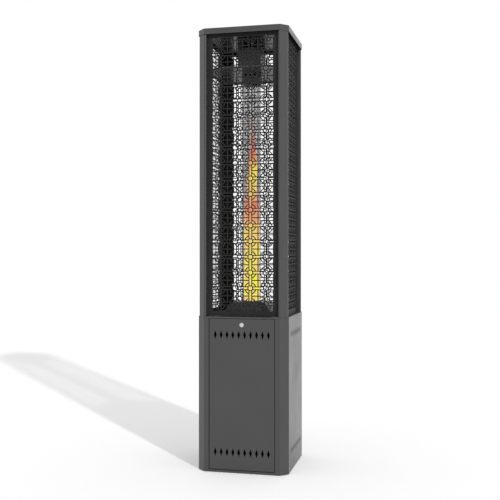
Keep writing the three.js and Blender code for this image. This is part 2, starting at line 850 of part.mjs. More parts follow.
function makePilotPlate() {
  const top = burnerBottom - fit;
  const holes = attendants.map(({ angle, radius }) => (
    rod(radius + fit, top - sheet - overcut, top + overcut, 8)
      .translate(pilotRing * Math.cos(angle), pilotRing * Math.sin(angle), 0)
  ));
  return cut(ring(neckWidth / 2 + fit, pilotRing + 5, top - sheet, top), ...holes);
}

function makeElectrode() {
  return join(
    rod(electrodeWidth / 2, 0, electrodeLength, 8),
    rod(electrodeWidth / 5, electrodeLength - 1, electrodeLength + electrodeTip, 6),
  );
}

function makeThermocouple() {
  const radius = thermocoupleWidth / 2;
  return turned([[0, 0], [radius, 0], [radius, thermocoupleLength - radius], [0, thermocoupleLength]], 8);
}

function makePilotTube() {
  return ring(pilotWidth / 2 - 1, pilotWidth / 2, 0, pilotLength, 8);
}

function addBurner() {
  const burner = new THREE.Group();
  addPiece('burner_housing', makeHousing(), anthracite, burner);
  const seatWall = gasketOuter + fit;
  const seat = cupRing(
    passage, seatWall + sheet, seatWall, housingTopHeight + fit, seatFloor, housingTopHeight + seatRingHeight,
  );
  addPiece('glass_seat_ring', seat, darkSteel, burner);
  const lowerGasket = ring(passage, gasketOuter, seatFloor + fit, gasketFloor, largeRound);
  addPiece('glass_gasket_lower', lowerGasket, fibre, burner);
  const glass = ring(glassRadius - glassWall, glassRadius, glassBottom, glassTop, largeRound);
  addPiece('glass_tube', glass, clearGlass, burner);
  const upperGasket = ring(
    glassRadius + fit, collarInner - fit, collarBottom, collarBottom + upperGasketHeight, largeRound,
  );
  addPiece('glass_gasket_upper', upperGasket, fibre, burner);

  addPiece('burner_head', makeBurnerHead(), darkSteel, burner);
  addPiece('mixing_tube', makeMixingTube(), zincPlate, burner);
  addPiece('injector', makeInjector(), brass, burner);
  addPiece('burner_bracket', makeBurnerBracket(), zincPlate, burner);
  addPiece('pilot_plate', makePilotPlate(), zincPlate, burner);
  const made = {
    spark_electrode: makeElectrode(), thermocouple: makeThermocouple(), pilot_tube: makePilotTube(),
  };
  const metals = { spark_electrode: ceramic, thermocouple: brightSteel, pilot_tube: brass };
  const foot = burnerBottom - fit - sheet - pilotDrop;
  for (const { name, angle } of attendants) {
    const piece = addPiece(name, made[name], metals[name], burner);
    piece.position.set(pilotRing * Math.cos(angle), pilotRing * Math.sin(angle), foot);
  }
  tower.add(burner);
}

// ---- Gas controls --------------------------------------------------------------------------
// Their own origin is on the front of the bracket, at the height of the valve and the igniter.

const controlY = -half + controlSetback;

function makeControlBracket() {
  const top = bracketTop - controlHeight;
  const section = toPath([[controlDepth, top], [0, top], [0, deckUnderside - controlDrop - controlHeight]]);
  const hole = (x, width) => facingFront(rod(width / 2 + fit, -sheet - overcut, overcut)).translate(x, 0, 0);
  return cut(
    lengthwise(folded(section), controlRight - controlWidth, controlRight),
    hole(valvePlace, valveBoss),
    hole(igniterPlace, igniterWidth),
  );
}

// Round shaft along Z with a flat on one side.
function dShape(radius, flat) {
  const start = Math.acos((radius - flat) / radius);
  const outline = new THREE.Shape();
  outline.absarc(0, 0, radius, start, 2 * Math.PI - start);
  return outline;
}

const spindleRadius = spindleWidth / 2;
const knobBack = knobRunway;
const knobFront = knobRunway + knobDepth;
const knobBoreEnd = knobFront - 3;
const spindleEnd = knobBoreEnd - knobTravel - fit;

function makeValve() {
  const back = -sheet - fit;
  return cut(
    join(
      block(
        [-valveWidth / 2, valveWidth / 2], [-valveHeight / 2, valveHeight / 2], [back - valveDepth, back],
      ),
      rod(valveBoss / 2, back - 1, 0),
    ),
    rod(spindleRadius + fit, -spindleSeat - fit, overcut),
  );
}

function makeKnob() {
  const body = turned([
    [0, knobBack], [knobWidth / 2, knobBack], [knobWidth / 2, knobBack + knobSkirt - 1],
    [knobWidth / 2 - 1, knobBack + knobSkirt], [knobGrip / 2, knobBack + knobSkirt],
    [knobGrip / 2 - 2, knobFront - 2], [knobGrip / 2 - 4, knobFront - 1], [0, knobFront - 1],
  ]);
  const rib = block(
    [-knobRib / 2, knobRib / 2], [-knobGrip / 2, knobWidth / 2 - 2], [knobBack + knobSkirt - 1, knobFront],
  );
  const bore = upright(dShape(spindleRadius + fit, spindleFlat), knobBack - overcut, knobBoreEnd);
  return cut(join(body, rib), bore);
}

function makeIgniter() {
  const bore = buttonWidth / 2 + fit;
  const floor = -buttonSeat - buttonTravel - fit;
  const radius = igniterWidth / 2;
  const flange = igniterFlange / 2;
  const front = fit + igniterFlangeThickness;
  return toGeometry(toSolid(turned([
    [0, fit - igniterLength], [radius, fit - igniterLength], [radius, fit], [flange, fit],
    [flange, front - 0.5], [flange - 0.5, front], [bore, front], [bore, floor], [0, floor],
  ])));
}

function makeIgniterNut() {
  const top = -sheet - fit;
  return cut(
    rod(igniterFlange / 2, top - igniterNutThickness, top, 6),
    rod(igniterWidth / 2 + fit, top - igniterNutThickness - overcut, top + overcut),
  );
}

function makeButton() {
  const radius = buttonWidth / 2;
  const front = fit + igniterFlangeThickness + buttonProud;
  return turned([
    [0, -buttonSeat], [radius, -buttonSeat], [radius, front - 1], [radius - 1, front], [0, front],
  ]);
}

// Copper pipe from the back of the valve to the injector, from the control group's origin.
function makeGasPipe() {
  const valveBack = sheet + fit + valveDepth + fit;
  const injectorBottom = mixerBottom - fit - injectorHexHeight - fit - controlHeight;
  const path = new THREE.CatmullRomCurve3([
    new THREE.Vector3(valvePlace, valveBack, 0),
    new THREE.Vector3(valvePlace, valveBack + 18, 0),
    new THREE.Vector3(valvePlace * 0.6, -controlY * 0.6, injectorBottom - 6),
    new THREE.Vector3(valvePlace * 0.2, -controlY * 0.93, injectorBottom - 17),
    new THREE.Vector3(0, -controlY, injectorBottom - 11),
    new THREE.Vector3(0, -controlY, injectorBottom),
  ]);
  const section = new THREE.Shape();
  section.absarc(0, 0, pipeWidth / 2, 0, 2 * Math.PI);
  return new THREE.ExtrudeGeometry(section, {
    extrudePath: path,
    steps: pipeSteps,
    curveSegments: pipeRound / 2,
  });
}

function addControls() {
  const controls = new THREE.Group();
  controls.position.set(0, controlY, controlHeight);
  const upFront = (geometry, x) => facingFront(geometry).translate(x, 0, 0);
  addPiece('control_bracket', makeControlBracket(), zincPlate, controls);
  addPiece('valve_body', upFront(makeValve(), valvePlace), brass, controls);
  const spindle = upright(dShape(spindleRadius, spindleFlat), -spindleSeat, spindleEnd);
  addPiece('valve_spindle', upFront(spindle, valvePlace), brightSteel, controls);
  addPiece('control_knob', upFront(makeKnob(), valvePlace), blackPlastic, controls);
  addPiece('igniter_body', upFront(makeIgniter(), igniterPlace), blackPlastic, controls);
  addPiece('igniter_nut', upFront(makeIgniterNut(), igniterPlace), blackPlastic, controls);
  addPiece('igniter_button', upFront(makeButton(), igniterPlace), redPlastic, controls);
  const inletTop = -valveHeight / 2 - fit;
  const inletEnd = inletTop - inletLength;
  const inletRadius = inletWidth / 2;
  const inlet = turned([
    [2, inletEnd], [inletRadius - 1, inletEnd], [inletRadius, inletEnd + 2], [inletRadius, inletTop - 4],
    [inletRadius + 2, inletTop - 4], [inletRadius + 2, inletTop], [2, inletTop], [2, inletEnd],
  ]);
  const inletPiece = addPiece('gas_inlet', toGeometry(toSolid(inlet)), brass, controls);
  inletPiece.position.set(valvePlace, sheet + fit + valveDepth / 2, 0);
  addPiece('gas_pipe', makeGasPipe(), copper, controls);
  tower.add(controls);

  const right = -bracketLength / 2 - switchGap;
  const box = block(
    [right - switchWidth, right],
    [-switchDepth / 2, switchDepth / 2],
    [bracketTop - switchHeight, bracketTop],
  );
  addPiece('tilt_switch', box, blackPlastic);
}

addCabinet();
addDoor();
addCage();
addFlue();
addBurner();
addControls();

export default tower;
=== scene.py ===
# Gas patio heater tower: finishes, cut ornament, glass, flame, light and camera.
import math

import bmesh
import bpy
from mathutils import Matrix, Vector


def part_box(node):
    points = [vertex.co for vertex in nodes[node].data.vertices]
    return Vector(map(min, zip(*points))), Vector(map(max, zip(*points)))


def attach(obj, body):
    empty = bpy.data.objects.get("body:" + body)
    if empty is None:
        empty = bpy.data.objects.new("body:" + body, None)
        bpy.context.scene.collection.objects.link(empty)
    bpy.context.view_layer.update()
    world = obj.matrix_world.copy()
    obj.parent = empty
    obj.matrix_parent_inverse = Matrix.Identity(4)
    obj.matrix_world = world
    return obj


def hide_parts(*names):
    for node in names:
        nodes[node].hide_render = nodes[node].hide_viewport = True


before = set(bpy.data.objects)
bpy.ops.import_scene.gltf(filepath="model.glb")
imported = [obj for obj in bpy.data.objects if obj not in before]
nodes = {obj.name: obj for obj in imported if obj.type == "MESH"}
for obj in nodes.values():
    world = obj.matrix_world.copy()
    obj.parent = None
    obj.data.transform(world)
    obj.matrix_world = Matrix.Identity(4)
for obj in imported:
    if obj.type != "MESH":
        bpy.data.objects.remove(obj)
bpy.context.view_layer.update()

mm = 0.001                          # in metres
corners = ("front_right", "back_right", "back_left", "front_left")
sides = ("front", "right", "back", "left")
noiseLow, noiseHigh = 0.3, 0.7      # nearly all of a noise pattern lies between these


# sRGB hex to the linear colour a shader wants
def toLinear(hexColour):
    channels = [int(hexColour[i:i + 2], 16) / 255 for i in (1, 3, 5)]
    return [c / 12.92 if c <= 0.04045 else ((c + 0.055) / 1.055) ** 2.4 for c in channels] + [1]


# scale of a pattern whose features are about so many millimetres across
def perMetre(size):
    return 1 / (size * mm)


# adds a node, sets its properties and its inputs, and links each input that is given as a socket
def addNode(tree, kind, inputs=None, **settings):
    node = tree.nodes.new(kind)
    for name, value in settings.items():
        setattr(node, name, value)
    for name, value in (inputs or {}).items():
        if isinstance(value, bpy.types.NodeSocket):
            tree.links.new(value, node.inputs[name])
        else:
            node.inputs[name].default_value = value
    return node


# new material with its Principled shader, and the place on the piece in metres
def startMaterial(name):
    material = bpy.data.materials.new(name)
    material.use_nodes = True
    tree = material.node_tree
    place = addNode(tree, "ShaderNodeTexCoord").outputs["Object"]
    return material, tree, tree.nodes["Principled BSDF"], place


# Powder-coated sheet steel, sprayed and baked: an even satin with a fine orange peel,
# dark seen straight on and pale at a low angle.
powderCoatLook = {
    "colour": "#383839",
    "thinColour": "#3e3e3f",   # where the coat is thinner
    "roughness": (0.27, 0.36),
    "peelSize": 1.4,           # mm; the real peel is near 0.5, drawn coarser to show
    "peelDepth": 0.012,        # mm
    "patchSize": 160,          # mm
}


def makePowderCoat(look):
    material, tree, shader, place = startMaterial("powderCoatedSteel")
    patch = addNode(tree, "ShaderNodeTexNoise", {
        "Vector": place, "Scale": perMetre(look["patchSize"]), "Detail": 3}).outputs["Fac"]
    peel = addNode(tree, "ShaderNodeTexNoise", {
        "Vector": place, "Scale": perMetre(look["peelSize"]), "Detail": 1}).outputs["Fac"]
    colour = addNode(tree, "ShaderNodeMix", {
        0: patch, 6: toLinear(look["colour"]), 7: toLinear(look["thinColour"])}, data_type="RGBA")
    rough = addNode(tree, "ShaderNodeMapRange", {
        "Value": patch, "From Min": noiseLow, "From Max": noiseHigh,
        "To Min": look["roughness"][0], "To Max": look["roughness"][1]})
    bump = addNode(tree, "ShaderNodeBump", {
        "Height": peel, "Strength": 0.5, "Distance": look["peelDepth"] * mm})
    tree.links.new(colour.outputs[2], shader.inputs["Base Color"])
    tree.links.new(rough.outputs[0], shader.inputs["Roughness"])
    tree.links.new(bump.outputs[0], shader.inputs["Normal"])
    return material


# Heat-proof stove paint, sprayed thin on sheet steel: near black and dry, with a slight
# grain and faint paler blooms where it runs hot.
stovePaintLook = {
    "colour": "#242424",
    "bloomColour": "#2a2a2a",
    "roughness": 0.55,
    "shine": 0.12,             # specular level, less than a gloss coat
    "grainSize": 1.8,          # mm, drawn coarser than the real pigment
    "grainDepth": 0.015,       # mm
    "bloomSize": 90,           # mm
    "bloomFrom": 0.45,         # noise where a bloom starts
    "bloomFull": 0.75,
}


def makeStovePaint(look):
    material, tree, shader, place = startMaterial("stovePaintedSteel")
    cloud = addNode(tree, "ShaderNodeTexNoise", {
        "Vector": place, "Scale": perMetre(look["bloomSize"]), "Detail": 4}).outputs["Fac"]
    bloom = addNode(tree, "ShaderNodeMapRange", {
        "Value": cloud, "From Min": look["bloomFrom"], "From Max": look["bloomFull"]})
    grain = addNode(tree, "ShaderNodeTexNoise", {
        "Vector": place, "Scale": perMetre(look["grainSize"]), "Detail": 2}).outputs["Fac"]
    colour = addNode(tree, "ShaderNodeMix", {
        0: bloom.outputs[0], 6: toLinear(look["colour"]), 7: toLinear(look["bloomColour"])},
        data_type="RGBA")
    bump = addNode(tree, "ShaderNodeBump", {
        "Height": grain, "Strength": 0.6, "Distance": look["grainDepth"] * mm})
    tree.links.new(colour.outputs[2], shader.inputs["Base Color"])
    tree.links.new(bump.outputs[0], shader.inputs["Normal"])
    shader.inputs["Roughness"].default_value = look["roughness"]
    shader.inputs["Specular IOR Level"].default_value = look["shine"]
    return material


# Stainless steel, rolled and then heated by the flame: brushed grey with straw and violet tints.
heatedSteelLook = {
    "colour": "#8b8a88",
    "strawColour": "#8d7a5c",
    "violetColour": "#5d5666",
    "roughness": (0.3, 0.5),
    "brushWidth": 0.8,         # mm, drawn coarser than the real brushing
    "brushStretch": 25,        # times longer than wide
    "tintSize": 45,            # mm
    "straw": (0.4, 0.6),       # noise where a tint starts and is full
    "violet": (0.58, 0.72),
}


def makeHeatedSteel(look):
    material, tree, shader, place = startMaterial("heatTintedStainless")
    tint = addNode(tree, "ShaderNodeTexNoise", {
        "Vector": place, "Scale": perMetre(look["tintSize"]), "Detail": 3}).outputs["Fac"]
    straw = addNode(tree, "ShaderNodeMapRange", {
        "Value": tint, "From Min": look["straw"][0], "From Max": look["straw"][1]})
    violet = addNode(tree, "ShaderNodeMapRange", {
        "Value": tint, "From Min": look["violet"][0], "From Max": look["violet"][1]})
    stretched = addNode(tree, "ShaderNodeMapping", {
        "Vector": place, "Scale": (1, 1, 1 / look["brushStretch"])})
    brush = addNode(tree, "ShaderNodeTexNoise", {
        "Vector": stretched.outputs[0], "Scale": perMetre(look["brushWidth"]),
        "Detail": 1}).outputs["Fac"]
    warm = addNode(tree, "ShaderNodeMix", {
        0: straw.outputs[0], 6: toLinear(look["colour"]), 7: toLinear(look["strawColour"])},
        data_type="RGBA")
    colour = addNode(tree, "ShaderNodeMix", {
        0: violet.outputs[0], 6: warm.outputs[2], 7: toLinear(look["violetColour"])},
        data_type="RGBA")
    rough = addNode(tree, "ShaderNodeMapRange", {
        "Value": brush, "To Min": look["roughness"][0], "To Max": look["roughness"][1]})
    tree.links.new(colour.outputs[2], shader.inputs["Base Color"])
    tree.links.new(rough.outputs[0], shader.inputs["Roughness"])
    shader.inputs["Metallic"].default_value = 1
    return material


# Mild steel, oxidised by the heat of the flue: even dull grey with darker scale.
oxidisedSteelLook = {
    "colour": "#626263",
    "scaleColour": "#4c4b4b",
    "roughness": 0.5,
    "scaleSize": 14,           # mm
}


def makeOxidisedSteel(look):
    material, tree, shader, place = startMaterial("oxidisedMildSteel")
    scale = addNode(tree, "ShaderNodeTexNoise", {
        "Vector": place, "Scale": perMetre(look["scaleSize"]), "Detail": 4, "Roughness": 0.6})
    colour = addNode(tree, "ShaderNodeMix", {
        0: scale.outputs["Fac"], 6: toLinear(look["colour"]), 7: toLinear(look["scaleColour"])},
        data_type="RGBA")
    tree.links.new(colour.outputs[2], shader.inputs["Base Color"])
    shader.inputs["Roughness"].default_value = look["roughness"]
    return material


# Bare metals: the tone changes softly where the piece came out of its bath or was handled,
# and the ones that were turned or drawn keep fine tool marks in their gloss. Sizes in mm;
# the tool marks are drawn coarser than they are, to show.
metalLooks = {
    "zincPlatedSteel": {       # bright dipped: cool, cloudy and slightly dulled
        "colour": "#b4b7ba", "dullColour": "#8f9294", "roughness": (0.28, 0.45),
        "tone": {"size": 12, "detail": 5, "roughness": 0.6}},
    "nickelPlatedBrass": {     # plated over a turned face: pale and bright
        "colour": "#d9d8d4", "dullColour": "#c4c2bd", "roughness": (0.12, 0.22),
        "tone": {"size": 9, "detail": 4, "roughness": 0.5}, "toolMark": 0.5},
    "turnedBrass": {           # straight off the lathe: yellow, with browner tarnish
        "colour": "#c9a55c", "dullColour": "#a98545", "roughness": (0.22, 0.38),
        "tone": {"size": 9, "detail": 4, "roughness": 0.5}, "toolMark": 0.5},
    "drawnCopper": {           # drawn tube: red-brown, dulled where it was held
        "colour": "#c67f5b", "dullColour": "#9c5b3e", "roughness": (0.22, 0.4),
        "tone": {"size": 9, "detail": 4, "roughness": 0.5}, "toolMark": 0.5},
}


def makeMetal(name, look):
    material, tree, shader, place = startMaterial(name)
    soft = look["tone"]
    tone = addNode(tree, "ShaderNodeTexNoise", {
        "Vector": place, "Scale": perMetre(soft["size"]), "Detail": soft["detail"],
        "Roughness": soft["roughness"]}).outputs["Fac"]
    gloss = tone
    if "toolMark" in look:
        gloss = addNode(tree, "ShaderNodeTexNoise", {
            "Vector": place, "Scale": perMetre(look["toolMark"]), "Detail": 1}).outputs["Fac"]
    colour = addNode(tree, "ShaderNodeMix", {
        0: tone, 6: toLinear(look["colour"]), 7: toLinear(look["dullColour"])}, data_type="RGBA")
    rough = addNode(tree, "ShaderNodeMapRange", {
        "Value": gloss, "To Min": look["roughness"][0], "To Max": look["roughness"][1]})
    tree.links.new(colour.outputs[2], shader.inputs["Base Color"])
    tree.links.new(rough.outputs[0], shader.inputs["Roughness"])
    shader.inputs["Metallic"].default_value = 1
    return material


# Moulded plastics, rubber and ceramic: the grain of the mould and a slight change of tone.
# Sizes in mm; the grain is drawn coarser than it is, to show.
mouldedLooks = {
    "mouldedBlackPolyamide": {         # spark-eroded mould: dull black, pale at a low angle
        "colour": "#1b1b1d", "paler": "#252527", "roughness": 0.48,
        "grainSize": 0.8, "grainDepth": 0.02, "toneSize": 15},
    "mouldedRedPolyamide": {           # smoother mould: a soft shine
        "colour": "#a5281f", "paler": "#b5372b", "roughness": 0.35,
        "grainSize": 0.8, "grainDepth": 0.01, "toneSize": 15},
    "mouldedRubber": {                 # dry and quite without shine
        "colour": "#181818", "paler": "#222222", "roughness": 0.85,
        "grainSize": 1.2, "grainDepth": 0.05, "toneSize": 15},
    "glazedCeramic": {                 # fired glaze: creamy and glossy
        "colour": "#e4ddcd", "paler": "#efe9dc", "roughness": 0.2,
        "grainSize": 3.0, "grainDepth": 0.01, "toneSize": 15},
}


def makeMoulded(name, look):
    material, tree, shader, place = startMaterial(name)
    grain = addNode(tree, "ShaderNodeTexNoise", {
        "Vector": place, "Scale": perMetre(look["grainSize"]), "Detail": 2}).outputs["Fac"]
    tone = addNode(tree, "ShaderNodeTexNoise", {
        "Vector": place, "Scale": perMetre(look["toneSize"]), "Detail": 3}).outputs["Fac"]
    colour = addNode(tree, "ShaderNodeMix", {
        0: tone, 6: toLinear(look["colour"]), 7: toLinear(look["paler"])}, data_type="RGBA")
    bump = addNode(tree, "ShaderNodeBump", {
        "Height": grain, "Strength": 0.6, "Distance": look["grainDepth"] * mm})
    tree.links.new(colour.outputs[2], shader.inputs["Base Color"])
    tree.links.new(bump.outputs[0], shader.inputs["Normal"])
    shader.inputs["Roughness"].default_value = look["roughness"]
    return material


# Braided glass-fibre rope: off-white strands that cross round the tube.
fibreLook = {
    "colour": "#cfc8b8",
    # darker low in the weave: painted shade in the hollows between the strands
    "gapShadeColour": "#7f7869",
    "roughness": 0.9,
    "strand": 2.2,             # mm between strands
    "depth": 0.3,              # mm
    "ropeRadius": 40,          # mm, of the ring that the rope makes
}


def makeFibre(look):
    material, tree, shader, place = startMaterial("braidedGlassFibre")
    split = addNode(tree, "ShaderNodeSeparateXYZ", {0: place})
    angle = addNode(tree, "ShaderNodeMath", {
        0: split.outputs[1], 1: split.outputs[0]}, operation="ARCTAN2")
    around = addNode(tree, "ShaderNodeMath", {
        0: angle.outputs[0], 1: look["ropeRadius"] * mm}, operation="MULTIPLY")
    strands = []
    for lean in (1, -1):
        along = addNode(tree, "ShaderNodeMath", {
            0: split.outputs[2], 1: lean, 2: around.outputs[0]}, operation="MULTIPLY_ADD")
        turns = addNode(tree, "ShaderNodeMath", {
            0: along.outputs[0], 1: 2 * math.pi / (look["strand"] * mm)}, operation="MULTIPLY")
        strands.append(addNode(tree, "ShaderNodeMath", {0: turns.outputs[0]}, operation="SINE"))
    weave = addNode(tree, "ShaderNodeMath", {
        0: strands[0].outputs[0], 1: strands[1].outputs[0]}, operation="MAXIMUM")
    height = addNode(tree, "ShaderNodeMapRange", {"Value": weave.outputs[0], "From Min": -1})
    # low in the weave the colour goes to the painted shade of the hollows, high up to the fibre's
    # own colour
    colour = addNode(tree, "ShaderNodeMix", {
        0: height.outputs[0], 6: toLinear(look["gapShadeColour"]), 7: toLinear(look["colour"])},
        data_type="RGBA")
    bump = addNode(tree, "ShaderNodeBump", {
        "Height": height.outputs[0], "Strength": 0.8, "Distance": look["depth"] * mm})
    tree.links.new(colour.outputs[2], shader.inputs["Base Color"])
    tree.links.new(bump.outputs[0], shader.inputs["Normal"])
    shader.inputs["Roughness"].default_value = look["roughness"]
    return material


# Drawn borosilicate tube: clear, faintly grey, with a trace of haze from the flame.
glassLook = {
    "colour": "#dedede",
    "hazeColour": "#d0d0d0",
    "index": 1.47,
    "roughness": 0.0,
    "hazeSize": 60,            # mm
}


def makeGlass(look):
    material, tree, shader, place = startMaterial("borosilicateGlass")
    haze = addNode(tree, "ShaderNodeTexNoise", {
        "Vector": place, "Scale": perMetre(look["hazeSize"]), "Detail": 3}).outputs["Fac"]
    colour = addNode(tree, "ShaderNodeMix", {
        0: haze, 6: toLinear(look["colour"]), 7: toLinear(look["hazeColour"])}, data_type="RGBA")
    tree.links.new(colour.outputs[2], shader.inputs["Base Color"])
    shader.inputs["Transmission Weight"].default_value = 1
    shader.inputs["Roughness"].default_value = look["roughness"]
    shader.inputs["IOR"].default_value = look["index"]
    return material


powderCoat = makePowderCoat(powderCoatLook)
stovePaint = makeStovePaint(stovePaintLook)
heatedSteel = makeHeatedSteel(heatedSteelLook)
oxidisedSteel = makeOxidisedSteel(oxidisedSteelLook)
zinc, nickel, brass, copper = (makeMetal(name, look) for name, look in metalLooks.items())
blackPlastic, redPlastic, rubber, ceramic = (
    makeMoulded(name, look) for name, look in mouldedLooks.items())
fibre = makeFibre(fibreLook)
glass = makeGlass(glassLook)
print("materials made")


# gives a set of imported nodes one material
def dress(material, *names):
    for name in names:
        mesh = nodes[name].data
        mesh.materials.clear()
        mesh.materials.append(material)


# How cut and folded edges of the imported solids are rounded
edgeFinish = {
    "coated": 0.25,            # mm, radius on coated sheet
    "turned": 0.5,             # mm, on cast and turned pieces
    "weld": 0.01,              # mm, corners of the solids that meet are joined
    "flat": 0.5,               # degrees, below which two faces are one flat
    "sharp": 28,               # degrees, above which an edge is rounded
    "steps": 2,
}


def softenEdges(finish, width, *names):
    for name in names:
        weld = nodes[name].modifiers.new("weld", "WELD")
        weld.merge_threshold = finish["weld"] * mm
        flats = nodes[name].modifiers.new("flats", "DECIMATE")
        flats.decimate_type = "DISSOLVE"
        flats.angle_limit = math.radians(finish["flat"])
        bevel = nodes[name].modifiers.new("edges", "BEVEL")
        bevel.width = width * mm
        bevel.segments = finish["steps"]
        bevel.limit_method = "ANGLE"
        bevel.angle_limit = math.radians(finish["sharp"])


coatedNodes = ["base_side_right", "base_side_left", "base_back_panel", "base_deck",
               "base_floor_pan", "front_sill", "door_header", "door_panel", "cap",
               *(f"post_{corner}" for corner in corners),
               "burner_housing", "heat_plate", "chimney_box", "chimney_hood", "cage_ceiling"]
dress(powderCoat, *coatedNodes)
dress(rubber, *(f"foot_{corner}" for corner in corners))
dress(stovePaint, "burner_head")
dress(heatedSteel, "glass_seat_ring")
dress(oxidisedSteel, "upper_collar")
dress(nickel, "lock_barrel", "lock_core", "thermocouple", "valve_spindle")
dress(zinc, "lock_nut", "lock_cam", "lock_cam_screw", "mixing_tube", "burner_bracket",
      "pilot_plate", "control_bracket")
dress(brass, "injector", "pilot_tube", "valve_body", "gas_inlet")
dress(copper, "gas_pipe")
dress(ceramic, "spark_electrode")
dress(fibre, "glass_gasket_lower", "glass_gasket_upper")
dress(blackPlastic, "igniter_nut", "tilt_switch")

softenEdges(edgeFinish, edgeFinish["coated"], *coatedNodes)
softenEdges(edgeFinish, edgeFinish["turned"], "valve_body", "tilt_switch", "igniter_nut",
            "control_bracket", "burner_head", "injector", "gas_inlet")
print("packed nodes dressed")


# finished mesh object from a bmesh, riding on a body
def addPiece(name, bm, material, body="tower", smooth=40):
    mesh = bpy.data.meshes.new(name)
    bm.normal_update()
    bm.to_mesh(mesh)
    bm.free()
    piece = bpy.data.objects.new(name, mesh)
    bpy.context.scene.collection.objects.link(piece)
    mesh.materials.append(material)
    mesh.shade_smooth()
    mesh.set_sharp_from_angle(angle=math.radians(smooth))
    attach(piece, body)
    return piece


# adds to a bmesh an outline of (x, y) in mm, drawn out between two heights
def drawOut(bm, outline, bottom, top):
    lower, upper = (
        [bm.verts.new((x * mm, y * mm, z * mm)) for x, y in outline] for z in (bottom, top))
    bm.faces.new(reversed(lower))
    bm.faces.new(upper)
    for i in range(len(outline)):
        k = (i + 1) % len(outline)
        bm.faces.new((lower[i], lower[k], upper[k], upper[i]))


# solid turned from a profile of (radius, distance along); `place` puts a point where it belongs,
# a point on the axis is shared by all facets, and a profile that starts off the axis is closed
def turnProfile(profile, facets, place):
    bm = bmesh.new()
    onAxis = {}
    columns = []
    for i in range(facets):
        angle = 2 * math.pi * i / facets
        column = []
        for j, (radius, along) in enumerate(profile):
            vert = onAxis[j] if j in onAxis else bm.verts.new(place(radius, angle, along))
            if radius == 0:
                onAxis[j] = vert
            column.append(vert)
        columns.append(column)
    count = len(profile)
    closed = profile[0][0] > 0
    for i, column in enumerate(columns):
        following = columns[(i + 1) % facets]
        for j in range(count if closed else count - 1):
            k = (j + 1) % count
            facet = list(dict.fromkeys((column[j], following[j], following[k], column[k])))
            if len(facet) > 2:
                bm.faces.new(facet)
    bmesh.ops.recalc_face_normals(bm, faces=bm.faces)
    return bm


# Cut pattern of the panels: one square cell, from its middle outwards, in mm
ornament = {
    "pitch": 67.4,
    "columns": 4,
    "eye": 8.5,                # radius of the round hole
    "eyeBar": 4.4,             # ring bar round it
    "ringInner": 21.8,         # ring bar in the four quarters
    "ringOuter": 26.3,
    "slotHalf": 4.0,           # slot from one eye bar to the next
    "slotBar": 4.2,            # bar at each side of a slot
    "gridBar": 4.4,            # bar between cells
    "bottomBorder": 20.3,
    "topBorder": 26.5,
    "cutEdge": 0.15,           # the laser's edge, softened by the paint
    "facets": 28,              # on a full circle
}


def arc(radius, start, end, facets):
    count = max(2, round(abs(end - start) / (2 * math.pi) * facets))
    angles = [start + (end - start) * i / count for i in range(count + 1)]
    return [(radius * math.cos(a), radius * math.sin(a)) for a in angles]


# openings of a quarter of a cell: the one inside its ring and the one in its corner
def quarterOpenings(size):
    flank = size["slotHalf"] + size["slotBar"]
    reach = size["pitch"] / 2 - size["gridBar"] / 2
    eyeEdge = size["eye"] + size["eyeBar"]
    spans = {r: math.asin(flank / r) for r in (eyeEdge, size["ringInner"], size["ringOuter"])}
    turns = {r: (a, math.pi / 2 - a) for r, a in spans.items()}
    inside = arc(eyeEdge, *turns[eyeEdge], size["facets"])
    inside += arc(size["ringInner"], *reversed(turns[size["ringInner"]]), size["facets"])
    corner = arc(size["ringOuter"], *reversed(turns[size["ringOuter"]]), size["facets"])
    corner += [(reach, flank), (reach, reach), (flank, reach)]
    return inside, corner


# slot along X between two eye bars a pitch apart, or from an eye bar to `end` at the border
def slotOpening(size, end=None):
    eyeEdge = size["eye"] + size["eyeBar"]
    lean = math.asin(size["slotHalf"] / eyeEdge)
    near = arc(eyeEdge, -lean, lean, size["facets"])
    if end is not None:
        return near + [(end, size["slotHalf"]), (end, -size["slotHalf"])]
    return near + [(size["pitch"] - x, -y) for x, y in near]


# outlines in mm of the sheet and of all its openings
def makeOrnament(size):
    low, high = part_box("lattice_front")
    halfWidth, bottom, top = high.x / mm, low.z / mm, high.z / mm
    pitch = size["pitch"]
    firstRow = bottom + size["bottomBorder"] + pitch / 2
    lastEdge = top - size["topBorder"]
    columns = [(i - (size["columns"] - 1) / 2) * pitch for i in range(size["columns"])]
    rows = []
    while firstRow + len(rows) * pitch < lastEdge:
        rows.append(firstRow + len(rows) * pitch)
    outlines = [[(-halfWidth, bottom), (halfWidth, bottom), (halfWidth, top), (-halfWidth, top)]]

    def punch(points, x, z, turn=0):
        c, s = math.cos(turn), math.sin(turn)
        placed = [(x + c * px - s * pz, z + s * px + c * pz) for px, pz in points]
        if min(pz for _, pz in placed) < lastEdge - size["gridBar"]:
            outlines.append([(px, min(pz, lastEdge)) for px, pz in placed])

    eye = arc(size["eye"], 0, 2 * math.pi, size["facets"])[:-1]
    inside, corner = quarterOpenings(size)
    between, toBorder = slotOpening(size), slotOpening(size, pitch / 2)
    for z in rows:
        for x in columns:
            punch(eye, x, z)
            for quarter in range(4):
                punch(inside, x, z, quarter * math.pi / 2)
                punch(corner, x, z, quarter * math.pi / 2)
            punch(toBorder if x == columns[-1] else between, x, z)
            punch(toBorder if z == rows[-1] else between, x, z, math.pi / 2)
            if x == columns[0]:
                punch(toBorder, x, z, math.pi)
            if z == rows[0]:
                punch(toBorder, x, z, -math.pi / 2)
    return outlines


